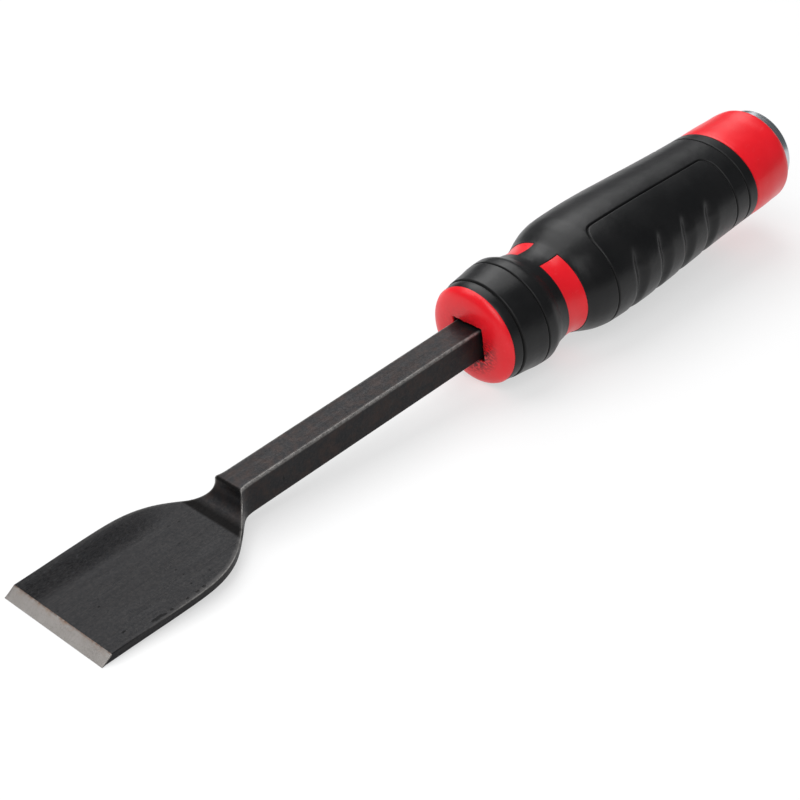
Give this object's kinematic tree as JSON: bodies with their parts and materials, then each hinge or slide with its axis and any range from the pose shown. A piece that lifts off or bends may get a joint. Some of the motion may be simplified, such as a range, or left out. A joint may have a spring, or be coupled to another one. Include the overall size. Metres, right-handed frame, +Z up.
{
  "type": "wide blade chisel scraper",
  "caption": "Wide flat blade with a ground bevel, forged on a square bar that enters an oval two-material grip with a steel strike cap.",
  "frame": {"origin": "centre of the footprint, on the surface that the tool lies on", "axes": "+X from the cutting edge to the strike cap, +Z up, bevel side of the blade up"},
  "size_m": [0.2804, 0.0408, 0.0396],
  "materials": {
    "black_steel": "black oxide, satin, with a bare ground bevel",
    "red_plastic": "moulded, semi-gloss",
    "black_rubber": "satin thermoplastic elastomer",
    "cap_steel": "bright plated steel"
  },
  "bodies": {
    "root": {"blade_and_tang": "black_steel", "handle_core": "red_plastic", "grip_overmould": "black_rubber", "strike_cap": "cap_steel"}
  },
  "joints": []
}
